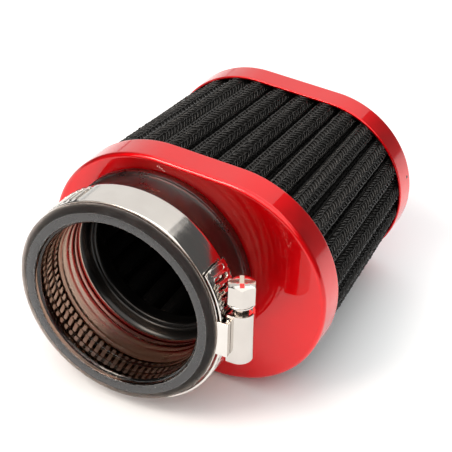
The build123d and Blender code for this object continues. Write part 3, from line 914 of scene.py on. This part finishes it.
class Strip:
    """Steel strip along a line, skewed sideways, with slots at some distances along it."""

    def __init__(self, line, skew):
        self.line, self.skew = line, skew
        self.vertices, self.faces = [], []

    def row(self, u, section):
        """Points of a section of (v, h) at one distance u or at several."""
        v, h = np.array(section).T
        u = np.broadcast_to(u, v.shape).astype(float)
        x, z = self.line(u, h)
        return np.stack([x, BAND_Y + v + self.skew(u), z], -1)

    def add(self, rows, close_columns=True):
        """Adds faces over rows of points, and returns the first point's number."""
        first = len(self.vertices)
        for row in rows:
            self.vertices.extend(row)
        self.faces += shifted(grid_faces(len(rows), len(rows[0]), close_columns=close_columns), first)
        return first

    def plain(self, distances, halves, start_capped, end_capped):
        """Plain stretch; halves are the strip's half widths at the distances along it."""
        rows = [self.row(u, plain_section(half)) for u, half in zip(distances, halves)]
        first = self.add(rows)
        ring = len(rows[0])
        for index, capped in ((0, start_capped), (len(rows) - 1, end_capped)):
            if capped:
                self.faces.append(tuple(first + index * ring + corner for corner in range(ring)))

    def slotted(self, start, cell, rings):
        """Cell with one slot, and the strip's two edges beside it."""
        middle = start + cell / 2
        self.add([self.row(middle + flat[:, 0], [(v, h) for v in flat[:, 1]]) for flat, h in rings])
        for side in (-1, 1):
            edge = [(side * v, h) for v, h in strip_edge(BAND_WIDTH / 2)]
            for low, high in ((-cell / 2, 0), (0, cell / 2)):
                self.add([self.row(middle + low, edge), self.row(middle + high, edge)], close_columns=False)


def rounded_half(u, end):
    """Half width of the strip at a distance u, near its rounded end."""
    over = max(u - (end - CORNER_R), 0.0)
    return BAND_WIDTH / 2 - CORNER_R + math.sqrt(max(CORNER_R ** 2 - over ** 2, 0.0))


def strip_piece(name, line, skew, start, end, slots, node, body, round_end=False):
    """Steel strip with slanted slots from start to end along a line."""
    strip = Strip(line, skew)
    cell = slots[1] - slots[0]
    slot_starts = [slot - cell / 2 for slot in slots]
    edges = [start] + [edge for slot in slot_starts for edge in (slot, slot + cell)] + [end]
    for low, high in zip(edges[0::2], edges[1::2]):
        if high - low < 1e-6:
            continue
        distances = np.linspace(low, high, max(2, int((high - low) / 0.8) + 1))
        halves = np.full(len(distances), BAND_WIDTH / 2)
        if round_end and high == end:
            corner = end - CORNER_R * (1 - np.sin(np.linspace(0, math.pi / 2, 10)))
            distances = np.concatenate([distances[distances < end - CORNER_R], corner])
            halves = [rounded_half(u, end) for u in distances]
        strip.plain(distances, halves, low == start, high == end)
    rings = slot_rings(cell)
    for slot_start in slot_starts:
        strip.slotted(slot_start, cell, rings)
    vertices = clamp_place(np.array(strip.vertices))
    piece = make_piece(name, vertices, strip.faces, STEEL, body, [node])
    sharpen(piece, 50)
    return piece


def slot_places(radius, steps):
    """Distances along the outer face to the slots, which keep their pitch at half the strip's thickness."""
    step = SLOT_PITCH / (radius + BAND_T / 2)
    return [k * step * (radius + BAND_T) for k in steps]


def clamp_band():
    """The loop, from one side of the housing round to the other."""
    outer = BAND_R + BAND_T
    start = math.asin(LOOP_START / BAND_R) * outer
    end = (2 * math.pi - math.asin(LOOP_END / BAND_R)) * outer
    slots = slot_places(BAND_R, LOOP_SLOTS)
    return strip_piece("clamp_strip_loop", loop_line, loop_skew, start, end, slots, "clamp_band", "clamp")


def band_tail():
    """The free end, that runs through the housing and shows above it."""
    outer = TAIL_R + BAND_T
    knee = math.radians(TAIL_STRAIGHT)
    end = math.radians(TAIL_TOP) * outer
    start = knee * outer + (math.radians(TAIL_END) - knee) * (TAIL_CLOSING_R + BAND_T)
    slots = slot_places(TAIL_R, TAIL_SLOTS)
    return strip_piece("clamp_strip_end", tail_line, no_skew, start, end, slots, "band_tail", "strip_end",
                       round_end=True)


def saddle_fillets():
    """Concave blends that run from the saddle plate up to the round screw housing, on both sides."""
    plate_x, housing_x = 33.02, 34.9
    vertices, faces = [], []
    for side in (-1, 1):
        curve = rounded((plate_x, side * 3.4), (plate_x + 0.08, side * 3.0), (housing_x, side * 3.62), 8)
        curve += [(housing_x - 0.5, side * 2.6), (plate_x, side * 2.6)]
        rows = [[(x, BAND_Y + y, z) for x, y in curve] for z in np.linspace(-5.9, 4.5, 14)]
        first = len(vertices)
        vertices += [point for row in rows for point in row]
        faces += shifted(grid_faces(len(rows), len(curve)), first)
        for end in (0, len(rows) - 1):
            faces.append(tuple(first + end * len(curve) + corner for corner in range(len(curve))))
    return make_piece("clamp_housing_fillets", clamp_place(np.array(vertices)), faces, STEEL, "clamp",
                      ["clamp_housing"])


# -------- small marks
def pin_hole_shade():
    """Black disc with a slightly raised rim on the end cap's side wall: painted shade where a tiny hole is.
    """
    turn = math.radians(16)
    outward = np.array([math.cos(turn), 0, math.sin(turn)])
    across = np.array([-math.sin(turn), 0, math.cos(turn)])
    along = np.array([0.0, 1.0, 0.0])
    centre = np.array([CENTRE_X + END_HALF[0] - END_HALF[1], END_HIGH[1] - 2.9, 0]) + outward * END_HALF[1]
    around = [2 * math.pi * k / 20 for k in range(20)]
    vertices = [centre + outward * 0.01]
    for radius, lift in ((0.3, 0.012), (0.42, 0.03), (0.52, 0.0)):
        vertices += [centre + outward * lift + radius * (across * math.cos(angle) + along * math.sin(angle))
                     for angle in around]
    faces = [(0, 1 + k, 1 + (k + 1) % len(around)) for k in range(len(around))]
    faces += shifted(grid_faces(3, len(around)), 1)
    return make_piece("end_cap_pin_hole_shade", vertices, faces, POTTING, "filter", ["end_cap"])


def scuffs():
    """Small pale scuffs on the base cap's face, above the neck."""
    rng = np.random.default_rng(3)
    start, finish = np.array([-3.0, 30.0]), np.array([-0.4, 28.9])
    vertices, faces = [], []
    for share in (0.0, 0.12, 0.3, 0.42, 0.6, 0.75, 1.0):
        x, z = start + (finish - start) * share + rng.normal(0, 0.12, 2)
        size = 0.10 + 0.10 * rng.random()
        first = len(vertices)
        for k in range(7):
            angle = 2 * math.pi * k / 7
            reach = size * (0.6 + 0.6 * rng.random())
            vertices.append((x + 1.5 * reach * math.cos(angle), FACE_Y - 0.02, z + reach * math.sin(angle)))
        faces.append(tuple(first + k for k in range(7)))
    return make_piece("base_cap_scuffs", vertices, faces, SCUFF, "filter", ["base_cap"])


# -------- all pieces
base_cap()
end_cap()
neck()
throat_ring()
pleated_ground()
knit()
clamp_band()
band_tail()
copied("base_potting", "potting_in_base_cap", 0.05, POTTING, "filter")
copied("clamp_saddle", "clamp_saddle_plate", 0.12, STEEL, "clamp")
copied("clamp_housing", "clamp_screw_housing", 0.12, SCREW_STEEL, "clamp")
saddle_fillets()
pin_hole_shade()
scuffs()
copied("clamp_screw", "clamp_worm_screw", 0.12, SCREW_STEEL, "screw")

# the inner layers and the hidden pieces stay as the CAD has them, with these materials
INNER = {
    "outer_wire_screen": woven("screen_wire_outer", (0.05, 0.05, 0.05, 1), WIRE_PITCH),
    # the inner screen's wire is painted far darker than the outer one's: painted shade for the dark inside
    # of the filter
    "inner_wire_screen": woven("screen_wire_inner", (0.003, 0.003, 0.003, 1), WIRE_PITCH),
    "end_potting": POTTING,
    "seam_clip": STEEL,
}
COTTON = woven("cotton_gauze", (0.6, 0.55, 0.48, 1), GAUZE_PITCH)
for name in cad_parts:
    if name.startswith("gauze_ply"):
        INNER[name] = COTTON
for name, material in INNER.items():
    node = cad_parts[name]
    node.data.materials.clear()
    node.data.materials.append(material)


# -------- camera, floor and light
def aim(azimuth, elevation):
    """Direction from the object; azimuth 0 is -Y and 90 is +X, as seen from above."""
    turn, rise = math.radians(azimuth), math.radians(elevation)
    return Vector((math.sin(turn) * math.cos(rise), -math.cos(turn) * math.cos(rise), math.sin(rise)))


def place_camera():
    """Camera that looks down at the neck from the front and a little to the right."""
    azimuth, elevation, roll = 24.27, 34.07, 5.594
    distance, lens = 0.4109, 116.88
    target = Vector((0.0, 0.030, 0.0))
    slide_right, slide_up = 0.015946, 0.007077
    back = aim(azimuth, elevation)
    upright = (-back).to_track_quat("-Z", "Y").to_matrix()
    turned = upright @ Matrix.Rotation(math.radians(roll), 3, "Z")
    right, up = turned.col[0].copy(), turned.col[1].copy()
    data = bpy.data.cameras.new("camera")
    data.lens = lens
    data.sensor_width = 36.0
    data.clip_start, data.clip_end = 0.01, 20.0
    camera = add_object("camera", data)
    camera.rotation_mode = "QUATERNION"
    centre = target + right * slide_right + up * slide_up
    camera.location = centre + back * distance
    camera.rotation_quaternion = turned.to_quaternion()
    bpy.context.scene.camera = camera


def place_floor():
    """Floor through the two long lower edges that the tapered filter lies on."""
    front = Vector((CENTRE_X, BASE_BACK, BASE_LOW[2])) * MM
    rear = Vector((CENTRE_X, END_HIGH[1] - EDGE_R, END_LOW[2])) * MM
    slope = math.atan2(rear.z - front.z, rear.y - front.y)
    size = 6.0
    mesh = bpy.data.meshes.new("floor")
    corners = [(-size, -size, 0), (size, -size, 0), (size, size, 0), (-size, size, 0)]
    mesh.from_pydata(corners, [], [(0, 1, 2, 3)])
    floor = add_object("floor", mesh)
    floor.matrix_world = Matrix.Translation(front) @ Matrix.Rotation(slope, 4, "X")
    mesh.materials.append(floor_paper())


def softbox(name, azimuth, elevation, distance, width, height, radiance, color):
    """Area light that faces the object; its brightness stays the same whatever its size."""
    data = bpy.data.lights.new(name, "AREA")
    data.shape = "RECTANGLE"
    data.size = width
    data.size_y = height
    data.energy = radiance * math.pi * width * height
    data.color = color
    light = add_object(name, data)
    back = aim(azimuth, elevation)
    light.location = Vector((0.008, 0.045, 0)) + back * distance
    light.rotation_mode = "QUATERNION"
    light.rotation_quaternion = back.to_track_quat("Z", "Y")


place_camera()
place_floor()
WARM = (1.0, 0.93, 0.86)
SOFT = (1.0, 0.975, 0.94)
PEACH = (1.0, 0.86, 0.74)
# a softbox in front, a small bright one that lights the base cap's front edge, a large dim one behind
# on the left, and a wide one overhead
softbox("key", -4, 44, 1.1, 1.7, 0.85, 2.4, WARM)
softbox("highlight", -31, 49, 1.1, 0.45, 0.38, 11.0, PEACH)
softbox("back_left", 207, 34, 1.2, 1.5, 1.4, 0.9, SOFT)
softbox("overhead", 120, 80, 1.3, 1.7, 1.7, 1.7, SOFT)

world = bpy.data.worlds.new("studio")
world.use_nodes = True
background = world.node_tree.nodes["Background"].inputs
background["Color"].default_value = (1, 1, 1, 1)
background["Strength"].default_value = 0.10
bpy.context.scene.world = world
bpy.context.scene.view_settings.view_transform = "Standard"
